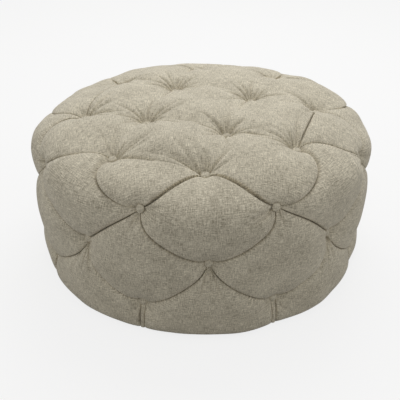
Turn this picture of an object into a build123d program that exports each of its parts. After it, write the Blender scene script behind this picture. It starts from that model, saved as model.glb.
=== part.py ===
"""Round button-tufted ottoman that serves as a low coffee table.

A plywood and timber drum carries firm foam, a soft wadding layer and a fabric
cover. Thirty-six covered buttons are drawn in by twine on a diamond layout, so
the wadding and the cover swell into pillows between them: twelve buttons on the
top (four inside, eight round the rim) and three staggered rows of eight on the
side. +Z is up, the origin is on the floor under the centre, and -Y is the front.
"""
import math
import os

from build123d import *

# Overall form, mm
outer_radius = 450.0           # to the crest of the middle side pillows
overall_height = 440.0         # floor to the crest of the middle top pillow

# Soft layers
fabric_thickness = 2.0
side_pillow_rise = 32.0        # crest of a side pillow above its button seats
top_pillow_rise = 34.0         # crest of a top pillow above its button seats
side_pleat_rise = 12.0         # middle of a pleat above the seats at its ends
top_pleat_rise = 18.0
seat_wadding = 6.0             # wadding squeezed under the lowest seats
firm_side_thickness = 28.0
firm_top_thickness = 22.0
layer_clearance = 0.3          # between soft layers, and round curved boards
foam_seam_gap = 0.6            # butt joint of the side wrap

# Button rows: radius or height of each seat
outer_circle_inset = 138.0     # top buttons round the rim, in from the overall radius
inner_circle_radius = 154.0
outer_circle_drop = 11.0       # the outer top seats below the inner ones
high_row_drop = 96.0           # the high side row below the overall height
high_row_inset = 7.0           # the high row in from the middle row
low_row_height = 83.0
low_row_inset = 4.0
foot_inset = 16.0              # crest of the bottom edge in from the overall radius
foot_pillow_rise = 8.0         # crest of the bottom edge above its pleats

# Seat tilt: the outward normal above the horizon, in degrees
side_tilt = 0.0
high_row_tilt = 15.0
outer_circle_tilt = 80.0
inner_circle_tilt = 90.0

# Covered buttons
button_radius = 11.0
button_height = 7.0
button_edge_height = 2.5
button_crown_radius = 6.0      # flat middle of its face
button_play = 0.5              # round the button to the first rise of the cover

# Twines, and the knots that hold them inside
twine_width = 2.4
twine_clearance = 0.2
knot_width = 8.0

# Frame
wall_thickness = 5.0           # bent hardboard round the boards
wall_seam_gap = 0.8
base_board_thickness = 18.0
deck_thickness = 15.0
air_hole_radius = 38.0
post_width = 42.0
post_depth = 34.0

# Underside
hem_lap = 46.0                 # cover turned in under the base board
dust_cloth_thickness = 0.8
dust_cloth_inset = 12.0        # edge of the dust cloth in from the edge of the base board
glide_height = 6.0
glide_radius = 14.0
glide_foot_radius = 12.5       # where it meets the floor
glide_edge_height = 2.0
glide_inset = 29.0             # centre of a glide in from the edge of the base board

cut_overrun = 1.0              # how far a cutting tool passes a face

# Counts and shares
row_count = 8                  # buttons in each side row and round the rim of the top
inner_count = 4
post_count = 8
glide_count = 8
button_sides = 10
glide_sides = 18
knot_depth_share = 0.75        # middle of a knot behind the board, in knot widths
half_pillow_facets = 2         # flat facets from the pleat to the crest where a pillow is widest
pillow_fullness = 0.7          # power of the crest curve: lower is fuller
pleat_bow = 1.5                # power of the pleats' run: 1 is straight from button to button
side_level_shares = (0.33, 0.67)
foot_level_share = 0.5
shoulder_level_shares = (0.25, 0.5, 0.75)
top_level_shares = (0.3, 0.65)
middle_level_share = 0.45      # from an inner seat to the centre of the top
cap_share = 0.8                # flat cap of the middle pillow

# Angles between neighbours, in degrees
step = 360.0 / row_count
half_step = step / 2
whole_azimuths = [step * k for k in range(row_count)]
half_azimuths = [half_step + step * k for k in range(row_count)]
inner_azimuths = [half_step + 360.0 / inner_count * k for k in range(inner_count)]
post_azimuths = [half_step / 2 + 360.0 / post_count * k for k in range(post_count)]
glide_azimuths = [360.0 / glide_count * k for k in range(glide_count)]

# Seats
seat_half = button_radius + button_play
middle_row_radius = outer_radius - side_pillow_rise
high_row_height = overall_height - high_row_drop
inner_circle_height = overall_height - top_pillow_rise
outer_circle_height = inner_circle_height - outer_circle_drop
outer_circle_radius = outer_radius - outer_circle_inset

# Levels from the floor up
dust_cloth_bottom = glide_height
cover_bottom = dust_cloth_bottom + dust_cloth_thickness
base_bottom = cover_bottom + fabric_thickness
base_top = base_bottom + base_board_thickness
lining = fabric_thickness + layer_clearance
firm_top = outer_circle_height - lining - seat_wadding - layer_clearance
deck_top = firm_top - firm_top_thickness
deck_bottom = deck_top - deck_thickness

# Radii from the soft side in
firm_radius = middle_row_radius - high_row_inset - lining - seat_wadding - layer_clearance
wall_radius = firm_radius - firm_side_thickness - layer_clearance
wall_bore = wall_radius - wall_thickness
board_radius = wall_bore - layer_clearance
hem_radius = board_radius - hem_lap
dust_cloth_radius = board_radius - dust_cloth_inset
glide_circle_radius = board_radius - glide_inset
post_face = math.sqrt(board_radius**2 - (post_width / 2) ** 2)
post_radius = post_face - post_depth / 2

upright = (Align.CENTER, Align.CENTER, Align.MIN)


def spin(place, azimuth):
    """Turns a place on the meridian about +Z. Azimuth 0 is the front, -Y, and 90 is +X."""
    turn = math.radians(azimuth)
    return Vector(place.X * math.sin(turn), -place.X * math.cos(turn), place.Z)


def outward(tilt):
    return Vector(math.cos(math.radians(tilt)), 0, math.sin(math.radians(tilt)))


def between(first, last, share):
    return first + (last - first) * share


def swell(share):
    """Height of a pillow's crest, from 0 at one button through 1 half way to 0 at the next."""
    return math.sin(math.pi * share) ** pillow_fullness


def line(start, crest, end, width_share=1):
    """Places along an arc through a crest, more of them where the pillow is wide."""
    halves = max(1, round(half_pillow_facets * width_share))
    arc = Edge.make_three_point_arc(start, crest, end)
    return [arc @ (k / (2 * halves)) for k in range(2 * halves + 1)]


def arch(start, end, rise, width_share=1):
    """Places along an arc whose middle stands that far above its chord."""
    return line(start, between(start, end, 0.5) + Vector(0, 0, rise), end, width_share)


class Row:
    """Buttons round one circle: the radius and height of their seats, and how far they tilt up."""

    def __init__(self, name, radius, height, tilt, azimuths):
        self.name = name
        self.radius = radius
        self.height = height
        self.tilt = tilt
        self.azimuths = azimuths

    @property
    def on_top(self):
        return self.tilt > (side_tilt + inner_circle_tilt) / 2

    @property
    def lean(self):
        """Angle of the twine off the square to the board it is knotted behind."""
        return math.radians(inner_circle_tilt - self.tilt if self.on_top else self.tilt - side_tilt)

    def along(self, distance):
        """The place that far up the meridian from the seat's centre, in the seat's own plane."""
        tangent = outward(self.tilt + 90)
        return Vector(self.radius, 0, self.height) + tangent * distance

    def planes(self):
        return [
            Plane(origin=spin(self.along(0), azimuth), z_dir=spin(outward(self.tilt), azimuth))
            for azimuth in self.azimuths
        ]

    def twine_length(self):
        """From the seat to the middle of the knot, behind the deck or the wall."""
        depth = self.height - deck_bottom if self.on_top else self.radius - wall_bore
        return depth / math.cos(self.lean) + knot_width * knot_depth_share


low_row = Row("low_side", middle_row_radius - low_row_inset, low_row_height, side_tilt, half_azimuths)
middle_row = Row(
    "middle_side", middle_row_radius, between(low_row_height, high_row_height, 0.5), side_tilt, whole_azimuths
)
high_row = Row(
    "high_side", middle_row_radius - high_row_inset, high_row_height, high_row_tilt, half_azimuths
)
outer_circle = Row(
    "top_outer", outer_circle_radius, outer_circle_height, outer_circle_tilt, whole_azimuths
)
inner_circle = Row(
    "top_inner", inner_circle_radius, inner_circle_height, inner_circle_tilt, inner_azimuths
)
rows = [inner_circle, outer_circle, high_row, middle_row, low_row]


def meridian(lower, upper, share):
    """The place and tilt a share of the way from one row to the next, square to both seats."""
    start, end = lower.along(seat_half), upper.along(-seat_half)
    tilt = between(lower.tilt, upper.tilt, share)
    n1, n2 = outward(lower.tilt), outward(upper.tilt)
    cross = n1.X * n2.Z - n1.Z * n2.X
    if lower.tilt == upper.tilt:
        return between(start, end, share), tilt
    reach_1, reach_2 = n1.dot(start), n2.dot(end)
    corner = Vector((reach_1 * n2.Z - reach_2 * n1.Z) / cross, 0, (reach_2 * n1.X - reach_1 * n2.X) / cross)
    return between(between(start, corner, share), between(corner, end, share), share), tilt


def cell(start, crest, end, width_share):
    """One cell's line at a level. A cell with no crest is a flat seat."""
    return [start, end] if crest is None else line(start, crest, end, width_share)


def side_ring(place, pleats, crests, width_shares=(1, 1)):
    """Sixteen lines round the cover at one level: two pleats in each step, and a cell after each.

    The places are on the meridian. The crests are those of the cells over the whole azimuths
    and of the cells between them, and the shares are how wide these cells are at this level.
    """
    lines = []
    for azimuth in whole_azimuths:
        turns = (azimuth - step + pleats[1], azimuth + pleats[0], azimuth + pleats[1])
        ends = [spin(place, turn) for turn in turns]
        tops = [crest and spin(crest, azimuth + k * half_step) for k, crest in enumerate(crests)]
        lines += [cell(ends[k], tops[k], ends[k + 1], width_shares[k]) for k in (0, 1)]
    return lines


def flat(*corners):
    return Face(Wire.make_polygon(corners))


def strip(low, high):
    """Flat triangles between two lines of places, laid alike from both ends."""
    faces, i, j = [], 0, 0
    while i + 1 < len(low) or j + 1 < len(high):
        lead = (2 * i + 1) * (len(high) - 1) - (2 * j + 1) * (len(low) - 1)
        if lead < 0 or (lead == 0 and 2 * i + 1 < len(low)):
            faces.append(flat(low[i], low[i + 1], high[j]))
            i += 1
        else:
            faces.append(flat(low[i], high[j + 1], high[j]))
            j += 1
    return faces


def band(low_lines, high_lines):
    return [face for low, high in zip(low_lines, high_lines) for face in strip(low, high)]


def has_whole(row):
    return row.azimuths is whole_azimuths


def seat_pleats(row, radius):
    """Azimuths within a step of the pleats at both sides of the row's buttons."""
    spread = math.degrees(math.atan2(seat_half, radius))
    return (spread, step - spread) if has_whole(row) else (half_step - spread, half_step + spread)


def seat_ring(row, distance, inward, rise):
    """The ring that far up from the row's seats, across the flats on which its buttons sit."""
    centre = row.along(distance) - outward(row.tilt) * inward
    corner = Vector(math.hypot(centre.X, seat_half), 0, centre.Z)
    crest = centre + outward(row.tilt) * rise
    return side_ring(corner, seat_pleats(row, centre.X), (None, crest) if has_whole(row) else (crest, None))


def pillow_ring(lower, upper, share, inward, pillow_rises, pleat_rises):
    """A ring between two rows. The rises run from the lower row's to the upper row's."""
    place, tilt = meridian(lower, upper, share)
    base = place - outward(tilt) * inward
    pillow = between(*pillow_rises, share)
    opening = base + outward(tilt) * pillow * swell(share / 2)
    closing = base + outward(tilt) * pillow * swell((1 + share) / 2)
    pleat = base + outward(tilt) * between(*pleat_rises, share) * math.sin(math.pi * share)
    run = 1 - (1 - share) ** pleat_bow
    starts, ends = seat_pleats(lower, lower.radius), seat_pleats(upper, upper.radius)
    pleats = [between(start, end, run) for start, end in zip(starts, ends)]
    if has_whole(lower):
        return side_ring(pleat, pleats, (opening, closing), (share, 1 - share))
    return side_ring(pleat, pleats, (closing, opening), (1 - share, share))


def foot_ring(share, inward):
    """A ring part of the way from the bottom edge to the low row, where the pleats run straight."""
    foot = Vector(outer_radius - foot_inset - foot_pillow_rise - inward, 0, cover_bottom + inward)
    pleat = between(foot, low_row.along(-seat_half) - Vector(inward, 0, 0), share)
    crest = pleat + Vector(between(foot_pillow_rise, side_pillow_rise, share), 0, 0)
    return side_ring(pleat, seat_pleats(low_row, low_row.radius), (crest, None))


def seat_rise(distance):
    """Rise of the cover over a fold between two top buttons, and at both sides of it."""
    return between(top_pleat_rise, top_pillow_rise, 0.5 if distance else 0)


def outer_circle_ring(distance, inward):
    """A ring across the outer top seats. Every second cell has the fold between two rim buttons."""
    lines = seat_ring(outer_circle, distance, inward, top_pillow_rise)
    for k in range(3, 2 * row_count, 4):
        lines[k] = arch(lines[k][0], lines[k][-1], seat_rise(distance))
    return lines


def side_rings(inward):
    """The rings from the bottom edge up to the far side of the outer top seats."""
    rings = [foot_ring(share, inward) for share in (0, foot_level_share)]
    side_rises = (side_pillow_rise, side_pillow_rise), (side_pleat_rise, side_pleat_rise)
    for lower, upper in ((low_row, middle_row), (middle_row, high_row)):
        rings += [seat_ring(lower, side, inward, side_pillow_rise) for side in (-seat_half, seat_half)]
        rings += [pillow_ring(lower, upper, share, inward, *side_rises) for share in side_level_shares]
    rings += [seat_ring(high_row, side, inward, side_pillow_rise) for side in (-seat_half, seat_half)]
    shoulder_rises = (side_pillow_rise, top_pillow_rise), (side_pleat_rise, top_pleat_rise)
    rings += [
        pillow_ring(high_row, outer_circle, share, inward, *shoulder_rises) for share in shoulder_level_shares
    ]
    return rings + [outer_circle_ring(side, inward) for side in (-seat_half, 0, seat_half)]


def inner_seat_corners(distance, inward):
    """Two corners of each inner seat on a line that far in from the seat's centre."""
    place = inner_circle.along(distance) - Vector(0, 0, inward)
    centres = [spin(place, azimuth) for azimuth in inner_azimuths]
    across = [spin(Vector(seat_half, 0, 0), azimuth + 90) for azimuth in inner_azimuths]
    return [(centre - half, centre + half) for centre, half in zip(centres, across)]


def crown_level(share, inward):
    """Eight lines part of the way in from the outer top seats to the inner ones.

    Two pleats end at each inner button. The lines are in turn the cell between that
    button's two pleats and the cell between two inner buttons.
    """
    place, _ = meridian(outer_circle, inner_circle, share)
    height = place.Z - inward
    pleat_height = height + top_pleat_rise * math.sin(math.pi * share)
    starts = [spin(outer_circle.along(seat_half), azimuth) for azimuth in whole_azimuths]
    ends = [corner for pair in inner_seat_corners(-seat_half, inward) for corner in pair]
    plan = [between(start, end, share) for start, end in zip(starts, ends)]
    stations = [Vector(station.X, station.Y, pleat_height) for station in plan]
    closing = height + top_pillow_rise * swell((1 + share) / 2)
    opening = height + between(top_pleat_rise, top_pillow_rise, swell(share))
    lines = []
    for k in range(0, row_count, 2):
        crest = spin(Vector(place.X, 0, closing), inner_azimuths[k // 2])
        lines.append(line(stations[k], crest, stations[k + 1], 1 - share))
        lines.append(arch(stations[k + 1], stations[(k + 2) % row_count], opening - pleat_height))
    return lines


def inner_seat_level(distance, inward):
    """Eight lines across the inner top seats: in turn a flat seat and a fold."""
    corners = inner_seat_corners(distance, inward)
    lines = []
    for (left, right), (after, _) in zip(corners, corners[1:] + corners[:1]):
        lines += [[left, right], arch(right, after, seat_rise(distance))]
    return lines


def middle_pillow(inner_lines, inward):
    """The square pillow between the inner buttons, with a small flat cap."""
    start = inner_circle.along(seat_half)
    crest = inner_circle_height + top_pillow_rise - inward
    shoulder = start.Z - inward + top_pillow_rise * swell(middle_level_share / cap_share / 2)
    corner = Vector(start.X * (1 - middle_level_share), 0, shoulder)
    corners = [spin(corner, azimuth) for azimuth in inner_azimuths]
    cap = [spin(Vector(start.X * (1 - cap_share), 0, crest), azimuth) for azimuth in inner_azimuths]
    faces = [flat(*cap)]
    for k in range(inner_count):
        after = (k + 1) % inner_count
        shoulder_line = arch(corners[k], corners[after], (crest - shoulder) / 2, 1 - middle_level_share)
        faces += strip(inner_lines[2 * k], [corners[k]])
        faces += strip(inner_lines[2 * k + 1], shoulder_line)
        faces += strip(shoulder_line, [cap[k], cap[after]])
    return faces


def top_faces(outer_lines, inward):
    """The top inside the outer circle of buttons."""
    levels = [crown_level(share, inward) for share in top_level_shares]
    levels += [inner_seat_level(side, inward) for side in (-seat_half, 0, seat_half)]
    faces = band(outer_lines[1::2], levels[0])
    for seat, cell_line in zip(outer_lines[0::2], levels[0]):
        faces += strip(seat, cell_line[:1])
    for low, high in zip(levels, levels[1:]):
        faces += band(low, high)
    return faces + middle_pillow(levels[-1], inward)


def tufted_form(inward=0.0):
    """The tufted outside of the ottoman moved in by a distance, closed flat underneath."""
    rings = side_rings(inward)
    faces = [flat(*[place for cell_line in rings[0] for place in cell_line[:-1]])]
    for low, high in zip(rings, rings[1:]):
        faces += band(low, high)
    return Solid(Shell(faces + top_faces(rings[-1], inward)))


def disc(radius, bottom, thickness):
    return Pos(0, 0, bottom) * Cylinder(radius, thickness, align=upright)


def tube(radius, bore, bottom, height):
    return disc(radius, bottom, height) - disc(bore, bottom - cut_overrun, height + 2 * cut_overrun)


def prism(sides, *sections):
    """A solid with flat sides through regular sections given as (radius, height)."""
    turns = [360.0 / sides * k for k in range(sides)]
    rings = [[spin(Vector(radius, 0, height), turn) for turn in turns] for radius, height in sections]
    faces = [flat(*rings[0]), flat(*rings[-1])]
    for low, high in zip(rings, rings[1:]):
        faces += [flat(low[k - 1], low[k], high[k], high[k - 1]) for k in range(sides)]
    return Solid(Shell(faces))


def around(azimuths, radius, height, shape):
    """Copies of a shape made at the origin, set on a circle with its -Y side outward."""
    return [Rot(0, 0, azimuth) * Pos(0, -radius, height) * shape for azimuth in azimuths]


def drills(some_rows):
    """Cutting tools along the twines of these rows, from outside the seats to inside the boards."""
    width = twine_width + 2 * twine_clearance
    tools = []
    for row in some_rows:
        length = row.twine_length()
        drill = Pos(0, 0, -length) * Box(width, width, length + cut_overrun, align=upright)
        tools += [plane.location * drill for plane in row.planes()]
    return tools


top_drills = drills([inner_circle, outer_circle])
side_drills = drills([high_row, middle_row, low_row])


def firm_form(grown=0.0):
    """The drum that the firm foam fills, bevelled from the deck up."""
    drum = disc(firm_radius + grown, cover_bottom, firm_top + grown - cover_bottom)
    return chamfer(drum.edges().group_by(Axis.Z)[-1], firm_top_thickness)


def cover():
    hollow = tufted_form() - tufted_form(fabric_thickness)
    mouth = disc(hem_radius, cover_bottom - cut_overrun, fabric_thickness + 2 * cut_overrun)
    return hollow - [mouth] - top_drills - side_drills


def wadding():
    return tufted_form(lining) - firm_form(layer_clearance) - top_drills - side_drills


def firm_top_pad():
    below = disc(outer_radius, cover_bottom, deck_top - cover_bottom)
    return firm_form() - below - top_drills


def firm_side_wrap():
    above = disc(outer_radius, deck_top, overall_height - deck_top)
    bore = disc(wall_radius + layer_clearance, cover_bottom, overall_height)
    under = disc(outer_radius, cover_bottom, fabric_thickness + layer_clearance)
    seam = Box(foam_seam_gap, outer_radius, overall_height, align=(Align.CENTER, Align.MAX, Align.MIN))
    back = Rot(0, 0, post_azimuths[post_count // 2]) * seam
    return firm_form() - above - bore - under - [back] - side_drills


def drum_wall():
    """Two bent boards that meet on opposite posts, left one first."""
    wall = tube(wall_radius, wall_bore, base_bottom, deck_top - base_bottom)
    seam = Box(wall_seam_gap, 2 * outer_radius, overall_height, align=upright)
    halves = wall - Rot(0, 0, post_azimuths[0]) * seam - side_drills
    return halves.solids().sort_by(Axis.X)


def top_deck():
    return disc(board_radius, deck_bottom, deck_thickness) - top_drills


def base_board():
    """The board under the posts, with an air hole in the middle."""
    return tube(board_radius, air_hole_radius, base_bottom, base_board_thickness)


def posts():
    post = Box(post_width, post_depth, deck_bottom - base_top, align=upright)
    return around(post_azimuths, post_radius, base_top, post)


def dust_cloth():
    return disc(dust_cloth_radius, dust_cloth_bottom, dust_cloth_thickness)


def glides():
    """Nail-on glides with a bevelled foot."""
    edge, top = (glide_radius, glide_edge_height), (glide_radius, glide_height)
    glide = prism(glide_sides, (glide_foot_radius, 0), edge, top)
    return around(glide_azimuths, glide_circle_radius, 0, glide)


def buttons(row):
    """Cloth-covered buttons with a flat back and a domed face."""
    edge, crown = (button_radius, button_edge_height), (button_crown_radius, button_height)
    button = prism(button_sides, (button_radius, 0), edge, crown)
    return [plane.location * Pos(0, 0, layer_clearance) * button for plane in row.planes()]


def twines(row):
    """From the back of each button to the knot behind the board."""
    length = row.twine_length()
    twine = Pos(0, 0, -length) * Box(twine_width, twine_width, length + layer_clearance, align=upright)
    knotted = twine + Pos(0, 0, -length) * Box(knot_width, knot_width, knot_width)
    return [plane.location * knotted for plane in row.planes()]


def nodes():
    """Every sub-part by name, as a list of its solids."""
    named = {
        "cover": [cover()],
        "wadding": [wadding()],
        "firm_top_pad": [firm_top_pad()],
        "firm_side_wrap": [firm_side_wrap()],
        "top_deck": [top_deck()],
        "base_board": [base_board()],
        "dust_cloth": [dust_cloth()],
    }
    named["drum_wall_left"], named["drum_wall_right"] = [[half] for half in drum_wall()]
    for kind, copies in (("post", posts()), ("glide", glides())):
        for number, copy in enumerate(copies, 1):
            named[f"{kind}_{number}"] = [copy]
    for row in rows:
        named[f"{row.name}_buttons"] = buttons(row)
        named[f"{row.name}_twines"] = twines(row)
    return named


os.makedirs("parts", exist_ok=True)
for name, shapes in nodes().items():
    solids = [solid for shape in shapes for solid in shape.solids()]
    export_step(solids[0] if len(solids) == 1 else Compound(children=solids), f"parts/{name}.step")
    print(name, len(solids), round(sum(solid.volume for solid in solids), 1))
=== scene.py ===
import math

import bmesh
import bpy
import numpy as np
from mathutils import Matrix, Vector


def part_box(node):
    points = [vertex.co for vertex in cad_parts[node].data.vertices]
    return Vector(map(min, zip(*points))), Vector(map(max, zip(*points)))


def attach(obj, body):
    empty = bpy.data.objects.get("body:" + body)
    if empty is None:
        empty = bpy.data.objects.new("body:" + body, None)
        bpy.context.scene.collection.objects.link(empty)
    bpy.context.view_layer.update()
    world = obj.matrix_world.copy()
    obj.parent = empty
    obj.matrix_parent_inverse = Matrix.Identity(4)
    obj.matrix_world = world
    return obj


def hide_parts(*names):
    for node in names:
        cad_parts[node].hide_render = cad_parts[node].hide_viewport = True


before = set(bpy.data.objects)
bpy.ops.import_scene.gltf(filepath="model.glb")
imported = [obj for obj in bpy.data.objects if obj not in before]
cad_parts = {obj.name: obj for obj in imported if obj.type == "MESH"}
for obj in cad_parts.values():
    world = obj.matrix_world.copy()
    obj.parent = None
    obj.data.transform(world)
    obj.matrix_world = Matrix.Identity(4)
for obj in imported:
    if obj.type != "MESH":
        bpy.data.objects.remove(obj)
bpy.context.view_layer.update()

# Seats of the cover, in metres and degrees: radius, height and tilt up the side, by level.
# Level 0 is the bottom edge, 1 to 3 are the rows of side buttons, 4 and 5 those of the top
COVER_BOTTOM = 0.0068
FOOT = (0.425, 0.0118, 0.0)
LOW = (0.414, 0.083, 0.0)
MIDDLE = (0.418, 0.2135, 0.0)
HIGH = (0.415, 0.344, 11.0)
OUTER = (0.312, 0.393, 80.0)
INNER = (0.154, 0.402, 90.0)
CENTRE = (0.0, 0.402, 90.0)
HEM_RADIUS = 0.3228
HEM_THICKNESS = 0.002

# The firm foam inside, which the cloth stays clear of
FIRM_RADIUS = 0.4027
FIRM_TOP = 0.3867
FIRM_BEVEL = 0.022
CLEARANCE = 0.0015

# Rise of the pillows and of the pleats over the seats, and how wide the buttons' dimples are
MARKS = (0.0, 1.0, 2.0, 3.0, 3.5, 4.0, 4.4, 5.0, 6.0)
CREST_RISES = (0.026, 0.034, 0.037, 0.038, 0.037, 0.039, 0.044, 0.046, 0.045)
PLEAT_RISES = (0.002, 0.012, 0.014, 0.016, 0.014, 0.021, 0.031, 0.034, 0.034)
DIMPLE_REACHES = (0.020, 0.022, 0.022, 0.022, 0.022, 0.023, 0.024, 0.025, 0.025)
SEAT_RADII = (0.0080, 0.0080, 0.0080, 0.0080, 0.0075, 0.0060, 0.0055, 0.0055, 0.0055)
FOOT_SHARE = 0.33                 # how full the pillows are at the bottom edge
SAG = 0.0130                      # how far a side pillow hangs down over the pleat below it
SAG_POWER = 0.45
TIGHT = 0.25                      # power of a pillow's rise from a sharp pleat
SOFT = 0.85                       # and from a shallow valley on the top
PILLOW_WIDTH = 0.15
CREASE_DEPTH = 0.0080             # of the narrow slit in which a sharp pleat ends
CREASE_WIDTH = 0.0009
CREASE_RISE = 0.012               # rise of the cover at which the slit has its whole depth

# Where the filling is fuller or slacker: azimuth and reach in degrees, level and reach, rise
UNEVEN = (
    (230.0, 34.0, 3.8, 0.8, -0.024),
    (180.0, 26.0, 3.9, 0.7, -0.018),
    (153.0, 22.0, 3.9, 0.8, -0.016),
    (118.0, 14.0, 3.8, 0.6, 0.007),
    (95.0, 35.0, 2.4, 0.8, 0.006),
    (80.0, 28.0, 3.5, 0.4, -0.015),
    (90.0, 30.0, 1.2, 0.5, -0.006),
)

# How each pleat bows, for the buttons of its lower row in order: first the pleat up to the left,
# then the one to the right. Over 1 it leaves the upper button steeply, under 1 flat
LOW_BOWS = (
    (1.4, 2.0), (1.7, 1.6), (1.5, 1.9), (1.8, 1.6), (1.6, 1.8), (1.6, 1.6), (1.8, 1.6), (2.0, 1.4),
)
SIDE_BOWS = (
    (3.2, 3.2), (1.2, 1.9), (2.2, 1.7), (1.6, 2.3), (2.3, 2.0), (1.7, 2.0), (2.1, 1.8), (1.9, 1.4),
)
RIM_BOWS = (
    (0.48, 2.2), (0.50, 1.3), (1.4, 0.55), (2.0, 0.5), (0.55, 1.9), (0.6, 1.3), (1.3, 0.5), (2.4, 0.48),
)

# Buttons that stand a little off their even places: (level, number) to degrees and levels
SEAT_SHIFTS = {
    (2, 0): (-0.2, 0.025), (2, 7): (1.8, 0.03),
    (3, 0): (-1.0, 0.06), (3, 1): (2.0, -0.08), (3, 6): (-2.5, -0.10), (3, 7): (0.4, 0.11),
    (4, 0): (-0.9, -0.03), (4, 1): (1.5, 0.03), (4, 2): (-1.0, 0.04),
    (4, 6): (1.9, 0.06), (4, 7): (0.8, -0.05),
    (5, 0): (-0.7, 0.0), (5, 2): (-0.8, 0.02), (5, 4): (3.4, 0.03), (5, 6): (2.4, -0.02),
}

# The double pleat from each low button down to the bottom edge
FOLD_GAP = 0.0155                 # half angle between its two folds
FOLD_RIDGE = 0.0045

# Folds that fan out from each button, by row: how many, the middle and half width of their fan in
# degrees from straight up the cover, their length and their depth
GATHERS = {
    "top_inner": ((14, 0, 180, 0.100, 0.0130),),
    "top_outer": ((8, 0, 65, 0.100, 0.0130), (3, 180, 100, 0.035, 0.0030)),
    "high_side": ((4, -85, 24, 0.080, 0.0090), (4, 85, 24, 0.065, 0.0070), (4, 180, 28, 0.060, 0.0080)),
    "middle_side": ((6, 180, 42, 0.120, 0.0100), (3, -80, 20, 0.045, 0.0050), (3, 80, 20, 0.045, 0.0050)),
    "low_side": ((3, -75, 22, 0.045, 0.0060), (3, 75, 22, 0.045, 0.0060), (4, 180, 55, 0.050, 0.0070)),
}
GATHER_SEED = 11
GATHER_START = 0.006              # reach at which a fold begins, and over what reach it deepens
GATHER_OPENING = 0.012
GATHER_WIDTH = 0.0016
GATHER_SPREAD = 0.050             # how much wider a fold gets along its length
GATHER_MARGIN = 0.010             # how far from a sharp pleat the folds have their whole depth

# Single long folds: button, direction at its start and end, length, depth
LONG_FOLDS = (((4, 0), -55, -66, 0.205, 0.0090), ((4, 0), -46, -61, 0.150, 0.0080))

# Slow unevenness of the filling: length, depth and number of its waves
RUMPLE_SEED = 5
RUMPLES = ((0.16, 0.0016, 10), (0.07, 0.0006, 14))

# How finely the cover is divided
PATCH_STEPS = 100
FOOT_ROWS = PATCH_STEPS * 2 // 5
STRIP_STEPS = 12
MERIDIAN_STEPS = 80

# Buttons
BUTTON_RADIUS = 0.011
BUTTON_HEIGHT = 0.0075
BUTTON_LIFTS = {
    "top_inner": 0.0015, "top_outer": 0.0020, "high_side": 0.003, "middle_side": 0.001, "low_side": 0.001,
}
BUTTON_SIDES = 40

# Underside
DUST_FOLD = 0.014                 # width of the dust cloth's folded edge
DUST_STAPLES = 40
DUST_PUCKER = 0.0004
GLIDE_SIDES = 48
GLIDE_PROFILE = (
    (0.0, 0.0014), (0.0030, 0.0012), (0.0034, 0.0004), (0.0040, 0.0), (0.0110, 0.0), (0.0120, 0.0003),
    (0.0126, 0.0010), (0.0137, 0.0040), (0.0140, 0.0050), (0.0139, 0.0058), (0.0136, 0.0060), (0.0, 0.0060),
)

# Dark and light colour, scale of the grain along x, y and z, height of its bumps, roughness
GRAINS = {
    "foam": ((0.62, 0.55, 0.36), (0.80, 0.74, 0.55), (500, 500, 500), 0.0008, 0.95),
    "plywood": ((0.42, 0.28, 0.15), (0.66, 0.50, 0.32), (6, 90, 400), 0.0003, 0.65),
    "hardboard": ((0.16, 0.09, 0.05), (0.30, 0.18, 0.10), (180, 180, 180), 0.0002, 0.60),
    "timber": ((0.50, 0.34, 0.18), (0.72, 0.56, 0.36), (120, 120, 7), 0.0003, 0.60),
    "twine": ((0.45, 0.40, 0.30), (0.75, 0.70, 0.58), (900, 900, 900), 0.0004, 0.85),
    "dust_cloth": ((0.012, 0.012, 0.013), (0.045, 0.045, 0.048), (700, 700, 700), 0.0003, 0.90),
    "glide": ((0.10, 0.07, 0.05), (0.16, 0.12, 0.09), (300, 300, 300), 0.0001, 0.40),
}
NODE_MATERIALS = {
    "firm_top_pad": "foam", "firm_side_wrap": "foam", "top_deck": "plywood", "base_board": "plywood",
    "drum_wall_left": "hardboard", "drum_wall_right": "hardboard", "post": "timber",
    "top_inner_twines": "twine", "top_outer_twines": "twine", "high_side_twines": "twine",
    "middle_side_twines": "twine", "low_side_twines": "twine",
}

# Name, power, size and place of each lamp
SOFTBOXES = (
    ("softbox", 30, 1.8, (0.3, 1.3, 2.3)),
    ("left_softbox", 6, 1.6, (-2.6, -0.4, 0.9)),
    ("right_softbox", 6, 1.6, (2.6, -0.4, 0.9)),
)

ROW_COUNT = 8
STEP = math.radians(360 / ROW_COUNT)


def meridian_table():
    """Radius, height and tilt up the middle of the cover, for levels 0 (bottom edge) to 6 (centre)."""
    seats = [FOOT, LOW, MIDDLE, HIGH, OUTER, INNER, CENTRE]
    levels, places = [], []
    for number, (low, high) in enumerate(zip(seats, seats[1:])):
        start, end = np.array(low[:2]), np.array(high[:2])
        tilts = np.radians([low[2], high[2]])
        corner = (start + end) / 2
        if tilts[1] > tilts[0]:
            normals = np.stack([np.cos(tilts), np.sin(tilts)], -1)
            corner = np.linalg.solve(normals, [normals[0] @ start, normals[1] @ end])
        for share in np.linspace(0, 1, MERIDIAN_STEPS, endpoint=number == len(seats) - 2):
            place = start * (1 - share) ** 2 + 2 * corner * share * (1 - share) + end * share**2
            levels.append(number + share)
            places.append([*place, tilts[0] + (tilts[1] - tilts[0]) * share])
    return np.array(levels), np.array(places)


LEVELS, PLACES = meridian_table()
RUNS = np.concatenate([[0], np.cumsum(np.hypot(*np.diff(PLACES[:, :2], axis=0).T))])
REACHES = RUNS[-1] - RUNS         # distance over the cover from the centre of the top


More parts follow.
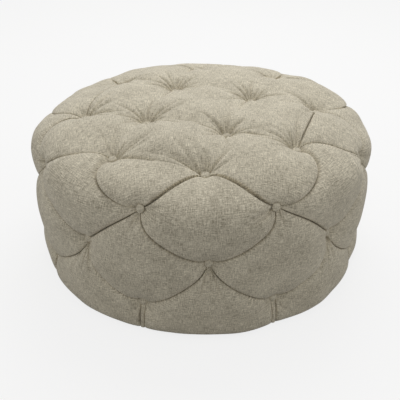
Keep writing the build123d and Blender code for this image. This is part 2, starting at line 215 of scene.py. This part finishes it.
def surface(places):
    """Places on the seats' surface with its outward normals, the way down it and its tilt."""
    azimuth = places[..., 0]
    radius, height, tilt = (np.interp(places[..., 1], LEVELS, PLACES[:, k]) for k in range(3))
    outward = np.stack([np.sin(azimuth), -np.cos(azimuth), 0 * azimuth], -1)
    up = np.array([0.0, 0.0, 1.0])
    points = outward * radius[..., None] + up * height[..., None]
    normals = outward * np.cos(tilt)[..., None] + up * np.sin(tilt)[..., None]
    downs = outward * np.sin(tilt)[..., None] - up * np.cos(tilt)[..., None]
    return points, normals, downs, tilt


def laid_flat(places):
    """(azimuth, level) to the cover laid out flat round the centre of the top."""
    reach = np.interp(places[..., 1], LEVELS, REACHES)
    return np.stack([reach * np.sin(places[..., 0]), -reach * np.cos(places[..., 0])], -1)


def wrapped(flat_places):
    """The flat layout back to (azimuth, level)."""
    reach = np.hypot(flat_places[..., 0], flat_places[..., 1])
    azimuth = np.arctan2(flat_places[..., 0], -flat_places[..., 1])
    return np.stack([azimuth, np.interp(-reach, -REACHES, LEVELS)], -1)


def seat(level, k):
    """(azimuth, level) of button k of a row. Rows 1, 3 and 5 stand between those of 2 and 4."""
    turn, rise = SEAT_SHIFTS.get((level, k % ROW_COUNT), (0.0, 0.0))
    return (k + level % 2 / 2) * STEP + math.radians(turn), level + rise


BUTTON_ROWS = {
    "top_inner": [seat(5, k) for k in range(0, ROW_COUNT, 2)],
    "top_outer": [seat(4, k) for k in range(ROW_COUNT)],
    "high_side": [seat(3, k) for k in range(ROW_COUNT)],
    "middle_side": [seat(2, k) for k in range(ROW_COUNT)],
    "low_side": [seat(1, k) for k in range(ROW_COUNT)],
}
ALL_SEATS = np.array([place for row in BUTTON_ROWS.values() for place in row], float)


def spacing(steps=PATCH_STEPS):
    """Shares from 0 to 1, closer together at both ends."""
    return (1 - np.cos(np.pi * np.linspace(0, 1, steps + 1))) / 2


def run(first, last, bow):
    """A pleat from a lower button to an upper one."""
    share = spacing()
    along = 1 - (1 - share) ** bow
    return np.stack([first[0] + (last[0] - first[0]) * along, first[1] + (last[1] - first[1]) * share], -1)


def low_pleat(k, way):
    """From low button k up to the middle one on its left (way 0) or right (way 1)."""
    return run(seat(1, k), seat(2, k + way), LOW_BOWS[k % ROW_COUNT][way])


def high_pleat(k, way):
    """From middle button k up to the high one on its left or right."""
    return run(seat(2, k), seat(3, k + way - 1), SIDE_BOWS[k % ROW_COUNT][way])


def rim_pleat(k, way):
    """From high button k up to the outer one of the top on its left or right."""
    return run(seat(3, k), seat(4, k + way), RIM_BOWS[k % ROW_COUNT][way])


def straight(first, last):
    """A run over the top between two buttons, in the flat layout."""
    ends = laid_flat(np.array([first, last], float))
    return ends[0] + (ends[1] - ends[0]) * spacing()[:, None]


def patch(bottom, top, left, right, rise=None):
    """Places inside four edges. The first two run left to right, the others bottom to top."""
    s, t = spacing()[None, :, None], (spacing() if rise is None else rise)[:, None, None]
    ruled = (1 - t) * bottom[None] + t * top[None] + (1 - s) * left[:, None] + s * right[:, None]
    corners = (1 - t) * ((1 - s) * bottom[0] + s * bottom[-1]) + t * ((1 - s) * top[0] + s * top[-1])
    return ruled - corners


def climb(share, opening=TIGHT, closing=TIGHT):
    """From 0 at one edge of a pillow through 1 to 0 at the other. Low powers climb steeply."""
    middle = opening / (opening + closing)
    return share**opening * (1 - share) ** closing / (middle**opening * (1 - middle) ** closing)


def full(bottom=TIGHT, top=TIGHT, left=TIGHT, right=TIGHT):
    """How full a pillow is over its patch, 0 to 1, and how far each place is from its sharp pleats."""
    s, t = spacing()[None, :], spacing()[:, None]
    fullness = climb(s, left, right) * climb(t, bottom, top)
    sharp = [share + 0 * s * t for share, power in ((t, bottom), (1 - t, top), (s, left), (1 - s, right))
             if power == TIGHT]
    off_crease = PILLOW_WIDTH * np.min(sharp, axis=0) if sharp else np.ones_like(fullness)
    return np.stack([fullness, off_crease], -1)


def fan_full(top):
    """The same for a pillow with three buttons, whose patch closes to a point at the bottom."""
    s, t = spacing()[None, :], spacing()[:, None]
    fullness = climb(s) * climb(t, 2 * TIGHT, top)
    off_crease = 2 * PILLOW_WIDTH * np.minimum(s, 1 - s) * t
    if top == TIGHT:
        off_crease = np.minimum(off_crease, PILLOW_WIDTH * (1 - t))
    return np.stack([fullness, off_crease], -1)


def foot_full():
    """The same for the pillows over the bottom edge, whose patch closes to a point at the top."""
    s, t = spacing()[None, :], foot_rise()[:, None]
    opening = FOOT_SHARE + (1 - FOOT_SHARE) * np.sqrt(1 - (1 - np.clip(t / 0.4, 0, 1)) ** 2)
    fullness = climb(s) * (1 - t**3) ** 0.6 * opening
    off_crease = 2 * PILLOW_WIDTH * np.minimum(s, 1 - s) * np.clip(2 * (1 - t), 0, 1)
    return np.stack([fullness, off_crease], -1)


def side_cells(k):
    """The high and low side pillows by button k, the one at the foot and the ridge beside it."""
    high = patch(high_pleat(k, 1), rim_pleat(k - 1, 1), high_pleat(k, 0), rim_pleat(k, 0))
    low = patch(low_pleat(k, 1), high_pleat(k, 1), low_pleat(k, 0), high_pleat(k + 1, 0))
    return [(high, full()), (low, full()), (foot_patch(k), foot_full()), fold_strip(k)]


def top_cells(k):
    """A corner pillow of the top, and the rim and top pillows to its right."""
    left, right, high = seat(4, k), seat(4, k + 1), seat(5, k)
    corner = patch(laid_flat(rim_pleat(k, 1)), straight(left, high), laid_flat(rim_pleat(k, 0)),
                   straight(right, high))
    left, right = seat(4, k + 1), seat(4, k + 2)
    outer = [laid_flat(rim_pleat(k + 1, way)) for way in range(2)]
    point = np.tile(outer[0][0], (PATCH_STEPS + 1, 1))
    rim = patch(point, straight(left, right), *outer)
    high_left, high_right = seat(5, k), seat(5, k + 2)
    top = patch(straight(left, right), straight(high_left, high_right), straight(left, high_left),
                straight(right, high_right))
    across = SOFT if k + 2 == ROW_COUNT else TIGHT
    return [
        (wrapped(corner), full(top=SOFT, right=SOFT)),
        (wrapped(rim), fan_full(across)),
        (wrapped(top), full(across, SOFT, SOFT, SOFT)),
    ]


def middle_cell():
    """The pillow between the four inner buttons."""
    a, b, c, d = (seat(5, k) for k in range(0, ROW_COUNT, 2))
    middle = patch(straight(a, b), straight(d, c), straight(a, d), straight(b, c))
    return wrapped(middle), full(SOFT, SOFT, SOFT, SOFT)


def fold_levels():
    """Levels of the rows of vertices up a fold, from the bottom edge to the low button."""
    return spacing()[:FOOT_ROWS + 1] / spacing()[FOOT_ROWS]


def fold_gap(level):
    """Half angle between the two folds below a low button, which close under the button."""
    return FOLD_GAP * np.sqrt(np.clip((1 - level) / 0.12, 0, 1))


def foot_rise():
    """Shares up a foot patch: the rows of the folds, then those of the pleats above them."""
    folds = spacing()[:FOOT_ROWS + 1]
    return np.concatenate([folds, folds[-1] + (1 - folds[-1]) * spacing()[1:]])


def foot_patch(k):
    """From the bottom edge up past low buttons k - 1 and k to a point at the middle one above them."""
    level = fold_levels()
    sides = []
    for pleat, way in ((low_pleat(k - 1, 1), 1), (low_pleat(k, 0), -1)):
        azimuth = np.concatenate([pleat[0, 0] + way * fold_gap(level), pleat[1:, 0]])
        sides.append(np.stack([azimuth, np.concatenate([level, pleat[1:, 1]])], -1))
    bottom = np.stack([sides[0][0, 0] + (sides[1][0, 0] - sides[0][0, 0]) * spacing(), 0 * spacing()], -1)
    return patch(bottom, np.tile(sides[0][-1], (PATCH_STEPS + 1, 1)), *sides, rise=foot_rise())


def fold_strip(k):
    """The narrow ridge between the two folds below low button k."""
    across = np.linspace(-1, 1, STRIP_STEPS + 1)[None, :]
    level = fold_levels()[:, None]
    places = np.stack([seat(1, k)[0] + fold_gap(level) * across, level + 0 * across], -1)
    ridge = FOLD_RIDGE / (CREST_RISES[1] - PLEAT_RISES[1])
    fullness = ridge * (1 - across**2) ** 0.6 * np.clip((1 - level) / 0.3, 0, 1) ** 0.5
    off_crease = MIDDLE[0] * fold_gap(level) * (1 - np.abs(across))
    return places, np.stack([fullness, off_crease], -1)


def fold(reach, angle, first, last, length, depth):
    """One fold that runs out from a button, as a height over the cover: a narrow valley."""
    share = reach / length
    turn = (angle - first - (last - first) * share + math.pi) % (2 * math.pi) - math.pi
    width = GATHER_WIDTH + GATHER_SPREAD * reach
    valley = np.exp(-np.abs(reach * turn) / width) * (np.abs(turn) < 1)
    opening = np.clip((reach - GATHER_START) / GATHER_OPENING, 0, 1)
    return -depth * valley * opening * np.clip(1 - share, 0, 1) ** 0.7


def fan_folds():
    """Every fold: its button's place, first and last direction, length and depth."""
    rng = np.random.default_rng(GATHER_SEED)
    folds = []
    for row, fans in GATHERS.items():
        for place in BUTTON_ROWS[row]:
            for count, middle, half_width, length, depth in fans:
                for number in range(count):
                    way = middle + half_width * (2 * (number + rng.uniform(0.2, 0.8)) / count - 1)
                    size = rng.uniform(0.45, 1.25)
                    bend = rng.uniform(-12, 12)
                    folds.append((place, way, way + bend, length * size, depth * rng.uniform(0.6, 1.2)))
    for (level, number), *shape in LONG_FOLDS:
        folds.append((seat(level, number), *shape))
    return folds


def gathers(points, off_crease):
    """Height of the folds that fan out from the buttons."""
    heights = np.zeros(len(points))
    for place, first, last, length, depth in fan_folds():
        centre, normal, down, _ = surface(np.array(place, float))
        near = np.linalg.norm(points - centre, axis=1) < length
        offset = points[near] - centre
        x, y = offset @ np.cross(normal, down), -(offset @ down)
        reach, angle = np.hypot(x, y), np.arctan2(x, y)
        heights[near] += fold(reach, angle, math.radians(first), math.radians(last), length, depth)
    return heights * np.clip(off_crease / GATHER_MARGIN, 0, 1)


def rumple(points):
    """Height of the filling's slow waves."""
    waves = np.zeros(len(points))
    rng = np.random.default_rng(RUMPLE_SEED)
    for size, depth, count in RUMPLES:
        for _ in range(count):
            way = rng.normal(size=3)
            way *= 2 * math.pi / size / np.linalg.norm(way)
            waves += depth * np.sin(points @ way + rng.uniform(0, 2 * math.pi)) / math.sqrt(count / 2)
    return waves


def uneven(places):
    """Rise of the whole cover where the filling is fuller or slacker."""
    rise = np.zeros(len(places))
    for azimuth, reach, level, levels, amount in UNEVEN:
        turn = (places[:, 0] - math.radians(azimuth) + math.pi) % (2 * math.pi) - math.pi
        rise += amount * np.exp(-((turn / math.radians(reach)) ** 2) - ((places[:, 1] - level) / levels) ** 2)
    return rise


def eased(levels, rises):
    """A table of rises by level, read with no corners at its marks."""
    fine = np.linspace(-1, MARKS[-1] + 1, 401)
    spread = np.exp(-np.linspace(-2, 2, 41) ** 2)
    table = np.convolve(np.interp(fine, MARKS, rises), spread / spread.sum(), mode="same")
    return np.interp(levels, fine, table)


def clear_of_foam(points, normals):
    """Moves what would dip into the firm foam back out of it."""
    radius, height = np.hypot(points[:, 0], points[:, 1]), points[:, 2]
    bevel = (radius + height - FIRM_TOP - FIRM_RADIUS + FIRM_BEVEL) / math.sqrt(2)
    gap = np.maximum(np.maximum(height - FIRM_TOP, radius - FIRM_RADIUS), bevel)
    return points + normals * np.clip(CLEARANCE - gap, 0, None)[:, None]


def lifted(places, fullness, off_crease):
    """The cover's vertices: each pillow's rise over the seats, its pleats, dimples, folds and sag."""
    points, normals, downs, tilt = surface(places)
    near = np.min([np.linalg.norm(points - place, axis=1) for place in surface(ALL_SEATS)[0]], axis=0)
    tables = (CREST_RISES, PLEAT_RISES, DIMPLE_REACHES, SEAT_RADII)
    crest, pleat, dimple, seat_radius = (eased(places[:, 1], table) for table in tables)
    off_button = 1 - np.exp(-np.clip(near - seat_radius, 0, None) / dimple)
    height = pleat * off_button + (crest - pleat) * fullness * np.sqrt(off_button)
    height += rumple(points) * off_button + gathers(points, off_crease)
    crease = CREASE_DEPTH * np.exp(-((off_crease / CREASE_WIDTH) ** 2))
    crease *= 1 - 0.5 * np.clip((places[:, 1] - 4) / 0.1, 0, 1)
    height -= crease * np.clip(height / CREASE_RISE, 0, 1) * np.clip(places[:, 1] / 0.3, 0, 1)
    height += uneven(places) * (0.3 + 0.7 * fullness) * off_button
    sag = SAG * np.clip(fullness, 0, 1) ** SAG_POWER * np.cos(tilt) * off_button
    sag *= np.clip(places[:, 1] / 1.2, 0, 1)
    moved = points + normals * height[:, None] + downs * sag[:, None]
    return clear_of_foam(moved, normals)


def cloth_coordinates(places, on_top):
    """Where each vertex of a patch lies on the flat cloth, in metres, for the weave."""
    if on_top:
        return laid_flat(places)
    return np.stack([places[..., 0] * MIDDLE[0], -np.interp(places[..., 1], LEVELS, REACHES)], -1)


def tufted_skin():
    """Vertices, quads and cloth coordinates of the cover down to its bottom edge."""
    sides = [cell for k in range(ROW_COUNT) for cell in side_cells(k)]
    tops = [cell for k in range(0, ROW_COUNT, 2) for cell in top_cells(k)] + [middle_cell()]
    cells = sides + tops
    points = np.concatenate([surface(places)[0].reshape(-1, 3) for places, _ in cells])
    _, first, index = np.unique(np.round(points * 1e5).astype(np.int64), axis=0, return_index=True,
                                return_inverse=True)
    places = np.concatenate([places.reshape(-1, 2) for places, _ in cells])[first]
    fullness, off_crease = np.concatenate([facts.reshape(-1, 2) for _, facts in cells])[first].T
    faces, cloth, start = [], [], 0
    for number, (cell_places, _) in enumerate(cells):
        shape = cell_places.shape[:2]
        grid = index.reshape(-1)[start:start + shape[0] * shape[1]].reshape(shape)
        flat = cloth_coordinates(cell_places, number >= len(sides))
        faces.append(quads(grid))
        cloth.append(quads(flat))
        start += shape[0] * shape[1]
    return lifted(places, fullness, off_crease), np.concatenate(faces), np.concatenate(cloth)


def quads(grid):
    """The four corners of each square of a grid, in order round it."""
    corners = np.stack([grid[:-1, :-1], grid[:-1, 1:], grid[1:, 1:], grid[1:, :-1]], 2)
    return corners.reshape(-1, 4, *grid.shape[2:])


def mesh_object(name, vertices, faces, cloth):
    """A smooth mesh object. A face whose corners have met becomes a triangle, or is left out."""
    mesh = bpy.data.meshes.new(name)
    kept, coordinates = [], []
    for face, places in zip(faces, cloth):
        corners = [k for k in range(len(face)) if face[k] != face[k - 1]]
        if len({face[k] for k in corners}) == len(corners) > 2:
            kept.append([int(face[k]) for k in corners])
            coordinates += [places[k] for k in corners]
    mesh.from_pydata([tuple(vertex) for vertex in vertices], [], kept)
    mesh.uv_layers.new(name="cloth").uv.foreach_set("vector", np.array(coordinates, np.float32).ravel())
    mesh.validate()
    mesh.polygons.foreach_set("use_smooth", [True] * len(mesh.polygons))
    mesh.update()
    made = bpy.data.objects.new(name, mesh)
    bpy.context.scene.collection.objects.link(made)
    return made


def weld(made):
    """Joins the vertices that lie on each other, and turns every face outward."""
    bm = bmesh.new()
    bm.from_mesh(made.data)
    bmesh.ops.remove_doubles(bm, verts=bm.verts, dist=1e-6)
    bmesh.ops.recalc_face_normals(bm, faces=bm.faces)
    bm.to_mesh(made.data)
    bm.free()


def close_underneath(made):
    """Turns the cover in under the base as a hem and closes it over the firm foam inside."""
    bm = bmesh.new()
    bm.from_mesh(made.data)
    ring = [edge for edge in bm.edges if edge.is_boundary]
    turns = [(0.0012, 0.0030), (0.0033, None), (0.0155, None)]
    sections = [
        (HEM_RADIUS, COVER_BOTTOM), (HEM_RADIUS, COVER_BOTTOM + HEM_THICKNESS),
        (FIRM_RADIUS, COVER_BOTTOM + HEM_THICKNESS), (FIRM_RADIUS, FIRM_TOP - FIRM_BEVEL),
        (FIRM_RADIUS - FIRM_BEVEL, FIRM_TOP),
    ]
    for number in range(len(turns) + len(sections)):
        grown = bmesh.ops.extrude_edge_only(bm, edges=ring)["geom"]
        new = [item for item in grown if isinstance(item, bmesh.types.BMVert)]
        ring = [item for item in grown if isinstance(item, bmesh.types.BMEdge)
                and all(vertex in new for vertex in item.verts)]
        for vertex in new:
            outward = Vector((vertex.co.x, vertex.co.y, 0))
            if number < len(turns):
                inset, drop = turns[number]
                radius = outward.length - inset
                level = COVER_BOTTOM if drop is None else vertex.co.z - drop
            else:
                radius, level = sections[number - len(turns)]
            vertex.co = outward.normalized() * radius + Vector((0, 0, level))
    bmesh.ops.contextual_create(bm, geom=ring)
    bmesh.ops.recalc_face_normals(bm, faces=bm.faces)
    bm.to_mesh(made.data)
    bm.free()


def cover():
    made = mesh_object("tufted_cover", *tufted_skin())
    close_underneath(made)
    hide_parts("cover", "wadding")
    return made


def button_profile(steps=10):
    """Radius and height from the back of a button over its rounded edge to the middle of its face."""
    profile = [(0.0, 0.0), (BUTTON_RADIUS * 0.8, 0.0)]
    for k in range(steps + 1):
        turn = math.radians(-30 + 120 * k / steps)
        radius = math.cos(turn) if turn < 0 else math.cos(turn) ** 0.8
        profile.append((BUTTON_RADIUS * radius, BUTTON_HEIGHT * (0.35 + 0.65 * math.sin(turn))))
    return np.array(profile)


def buttons(row, seats):
    """The covered buttons of one row, with the cloth drawn tight over a slightly uneven dome."""
    rng = np.random.default_rng(len(row))
    profile = button_profile()
    turns = np.linspace(0, 2 * math.pi, BUTTON_SIDES + 1)
    vertices, faces, cloth = [], [], []
    for centre, normal, down, _ in zip(*surface(np.array(seats, float))):
        lean, phase = rng.uniform(-0.08, 0.08, 2), rng.uniform(0, 6)
        pucker = 1 + 0.02 * np.outer(profile[:, 1] < BUTTON_HEIGHT * 0.6, np.cos(9 * turns + phase))
        x = profile[:, :1] * np.cos(turns) * pucker
        y = profile[:, :1] * np.sin(turns) * pucker
        lift = BUTTON_LIFTS[row] + profile[:, 1:] * (1 + (lean[0] * x + lean[1] * y) / BUTTON_HEIGHT)
        across = np.cross(normal, down)
        places = centre + x[..., None] * across - y[..., None] * down + lift[..., None] * normal
        grid = np.arange(x.size).reshape(x.shape) + sum(len(part) for part in vertices)
        vertices.append(places.reshape(-1, 3))
        faces.append(quads(grid))
        cloth.append(quads(np.stack([x, y], -1) + centre[:2]))
    made = mesh_object(f"{row}_cloth_buttons", *(np.concatenate(part) for part in (vertices, faces, cloth)))
    weld(made)
    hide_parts(f"{row}_buttons")
    return made


class Shading:
    """A new node material, with short calls for the nodes that every material here uses."""

    def __init__(self, name):
        self.material = bpy.data.materials.new(name)
        self.material.use_nodes = True
        self.nodes = self.material.node_tree.nodes
        self.links = self.material.node_tree.links
        self.shader = self.nodes["Principled BSDF"]

    def coordinates(self, cloth=None):
        """The cloth's own coordinates, or the object's."""
        if cloth is None:
            return self.nodes.new("ShaderNodeTexCoord").outputs["Object"]
        node = self.nodes.new("ShaderNodeUVMap")
        node.uv_map = cloth
        return node.outputs["UV"]

    def noise(self, coordinates, stretch, detail=2.0):
        mapping = self.nodes.new("ShaderNodeMapping")
        mapping.inputs["Scale"].default_value = stretch
        self.links.new(coordinates, mapping.inputs["Vector"])
        texture = self.nodes.new("ShaderNodeTexNoise")
        texture.inputs["Scale"].default_value = 1.0
        texture.inputs["Detail"].default_value = detail
        texture.inputs["Roughness"].default_value = 0.6
        self.links.new(mapping.outputs["Vector"], texture.inputs["Vector"])
        return texture.outputs["Fac"]

    def blend(self, parts):
        """Sum of (texture, weight) pairs."""
        total = None
        for texture, weight in parts:
            node = self.nodes.new("ShaderNodeMath")
            node.operation = "MULTIPLY_ADD"
            self.links.new(texture, node.inputs[0])
            node.inputs[1].default_value = weight
            node.inputs[2].default_value = 0.0
            if total is not None:
                self.links.new(total, node.inputs[2])
            total = node.outputs[0]
        return total

    def ramp(self, value, low, dark, high, light):
        node = self.nodes.new("ShaderNodeValToRGB")
        for element, place, colour in zip(node.color_ramp.elements, (low, high), (dark, light)):
            element.position, element.color = place, (*colour, 1)
        self.links.new(value, node.inputs["Fac"])
        return node.outputs["Color"]

    def finish(self, colour, height, bump, roughness, sheen=0.0):
        self.links.new(colour, self.shader.inputs["Base Color"])
        node = self.nodes.new("ShaderNodeBump")
        node.inputs["Strength"].default_value = 0.5
        node.inputs["Distance"].default_value = bump
        self.links.new(height, node.inputs["Height"])
        self.links.new(node.outputs["Normal"], self.shader.inputs["Normal"])
        self.shader.inputs["Roughness"].default_value = roughness
        self.shader.inputs["Sheen Weight"].default_value = sheen
        return self.material


def linen_material():
    """Slubby greige weave: uneven light and dark threads both ways, over a soft mottle."""
    shading = Shading("linen")
    cloth = shading.coordinates("cloth")
    threads = shading.blend([
        (shading.noise(cloth, (60, 620, 1)), 0.35),
        (shading.noise(cloth, (620, 60, 1)), 0.30),
        (shading.noise(cloth, (380, 380, 1), 3.0), 0.32),
        (shading.noise(cloth, (14, 14, 1)), 0.10),
    ])
    colour = shading.ramp(threads, 0.44, (0.318, 0.283, 0.209), 0.64, (0.85, 0.786, 0.63))
    return shading.finish(colour, threads, 0.0012, 0.92, 0.15)


def grain_material(name, dark, light, stretch, bump, roughness):
    """A material of the inside or the underside: grain, fibres or pores over a slow mottle."""
    shading = Shading(name)
    place = shading.coordinates()
    grain = shading.blend([
        (shading.noise(place, stretch, 4.0), 0.6),
        (shading.noise(place, tuple(scale * 4 for scale in stretch)), 0.25),
        (shading.noise(place, (9, 9, 9)), 0.15),
    ])
    return shading.finish(shading.ramp(grain, 0.35, dark, 0.65, light), grain, bump, roughness)


def dress_frame():
    """Gives every CAD node that stays its material."""
    for name, settings in GRAINS.items():
        material = grain_material(name, *settings)
        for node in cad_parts.values():
            if NODE_MATERIALS.get(node.name.rstrip("_0123456789")) == name:
                for place in node.material_slots:
                    place.material = material


def lathe(name, profile, centre, sides):
    """A smooth closed solid turned from a profile of radii and heights round an upright axis."""
    turns = np.linspace(0, 2 * math.pi, sides + 1)
    radii, heights = np.array(profile).T
    x, y = radii[:, None] * np.cos(turns), radii[:, None] * np.sin(turns)
    vertices = np.stack([x + centre[0], y + centre[1], heights[:, None] + 0 * x], -1).reshape(-1, 3)
    grid = np.arange(x.size).reshape(x.shape)
    made = mesh_object(name, vertices, quads(grid), quads(np.stack([x, y], -1)))
    weld(made)
    return made


def glide(number):
    """A moulded nail-on glide, with the nail's head sunk in the middle of its foot."""
    low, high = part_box(f"glide_{number}")
    made = lathe(f"moulded_glide_{number}", GLIDE_PROFILE, (low + high) / 2, GLIDE_SIDES)
    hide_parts(f"glide_{number}")
    made.data.materials.append(bpy.data.materials["glide"])
    return made


def dust_sheet():
    """The dust cloth under the base, drawn tight between its staples, with its edge folded in."""
    low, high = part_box("dust_cloth")
    edge = (high.x - low.x) / 2
    inside, folded = np.linspace(0, edge - DUST_FOLD, 30), edge - DUST_FOLD * np.linspace(0.98, 0, 10)
    radii = np.concatenate([inside, folded])
    turns = np.linspace(0, 2 * math.pi, 4 * DUST_STAPLES + 1)
    share = radii[:, None] / edge
    pull = DUST_PUCKER * np.clip((share - 0.6) / 0.4, 0, 1) ** 2 * (1 - np.cos(DUST_STAPLES * turns)) / 2
    under = low.z + DUST_PUCKER + 0.0001 * (share < 1 - DUST_FOLD / edge) - pull
    x, y = radii[:, None] * np.cos(turns), radii[:, None] * np.sin(turns)
    heights = np.concatenate([under, np.full((2, len(turns)), high.z)])
    x, y = (np.concatenate([side, side[-1:], 0 * side[:1]]) for side in (x, y))
    grid = np.arange(x.size).reshape(x.shape)
    places = np.stack([x, y], -1)
    vertices = np.concatenate([places, heights[..., None]], -1).reshape(-1, 3)
    made = mesh_object("stretched_dust_cloth", vertices, quads(grid), quads(places))
    weld(made)
    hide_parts("dust_cloth")
    made.data.materials.append(bpy.data.materials["dust_cloth"])
    return made


def floor_material():
    """Nearly white to the camera with a faint shadow, and darker to light that bounces off it."""
    shading = Shading("floor")
    nodes, links = shading.nodes, shading.links
    shading.shader.inputs["Base Color"].default_value = (0.44, 0.44, 0.44, 1)
    shading.shader.inputs["Roughness"].default_value = 1.0
    shading.shader.inputs["Specular IOR Level"].default_value = 0.0
    white = nodes.new("ShaderNodeEmission")
    white.inputs["Color"].default_value = (0.965, 0.965, 0.965, 1)
    pale = nodes.new("ShaderNodeBsdfDiffuse")
    pale.inputs["Color"].default_value = (0.92, 0.92, 0.92, 1)
    seen = nodes.new("ShaderNodeMixShader")
    seen.inputs["Fac"].default_value = 0.84
    links.new(pale.outputs["BSDF"], seen.inputs[1])
    links.new(white.outputs["Emission"], seen.inputs[2])
    path = nodes.new("ShaderNodeLightPath")
    chosen = nodes.new("ShaderNodeMixShader")
    links.new(path.outputs["Is Camera Ray"], chosen.inputs["Fac"])
    links.new(shading.shader.outputs["BSDF"], chosen.inputs[1])
    links.new(seen.outputs["Shader"], chosen.inputs[2])
    links.new(chosen.outputs["Shader"], nodes["Material Output"].inputs["Surface"])
    return shading.material


def floor_and_light():
    mesh = bpy.data.meshes.new("floor")
    mesh.from_pydata([(-9, -9, 0), (9, -9, 0), (9, 9, 0), (-9, 9, 0)], [], [(0, 1, 2, 3)])
    floor = bpy.data.objects.new("floor", mesh)
    bpy.context.scene.collection.objects.link(floor)
    mesh.materials.append(floor_material())
    world = bpy.data.worlds.new("studio")
    bpy.context.scene.world = world
    world.use_nodes = True
    world.node_tree.nodes["Background"].inputs["Color"].default_value = (1, 0.99, 0.97, 1)
    world.node_tree.nodes["Background"].inputs["Strength"].default_value = 0.50
    for name, energy, size, place in SOFTBOXES:
        lamp = bpy.data.lights.new(name, "AREA")
        lamp.energy, lamp.size = energy, size
        light = bpy.data.objects.new(name, lamp)
        light.location = place
        light.rotation_euler = (Vector((0, 0, 0.3)) - light.location).to_track_quat("-Z", "Y").to_euler()
        bpy.context.scene.collection.objects.link(light)


def camera():
    data = bpy.data.cameras.new("camera")
    data.lens, data.sensor_width = 70.6, 36.0
    made = bpy.data.objects.new("camera", data)
    made.location = (-0.0923, -1.8936, 1.3138)
    aim = Vector((-0.0024, 0.0, 0.1295)) - made.location
    made.rotation_euler = aim.to_track_quat("-Z", "Y").to_euler()
    bpy.context.scene.collection.objects.link(made)
    bpy.context.scene.camera = made


linen = linen_material()
pieces = [cover()] + [buttons(row, seats) for row, seats in BUTTON_ROWS.items()]
for piece in pieces:
    piece.data.materials.append(linen)
dress_frame()
pieces += [dust_sheet()] + [glide(number) for number in range(1, ROW_COUNT + 1)]
for piece in pieces:
    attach(piece, "root")
floor_and_light()
camera()
bpy.context.scene.view_settings.view_transform = "Standard"
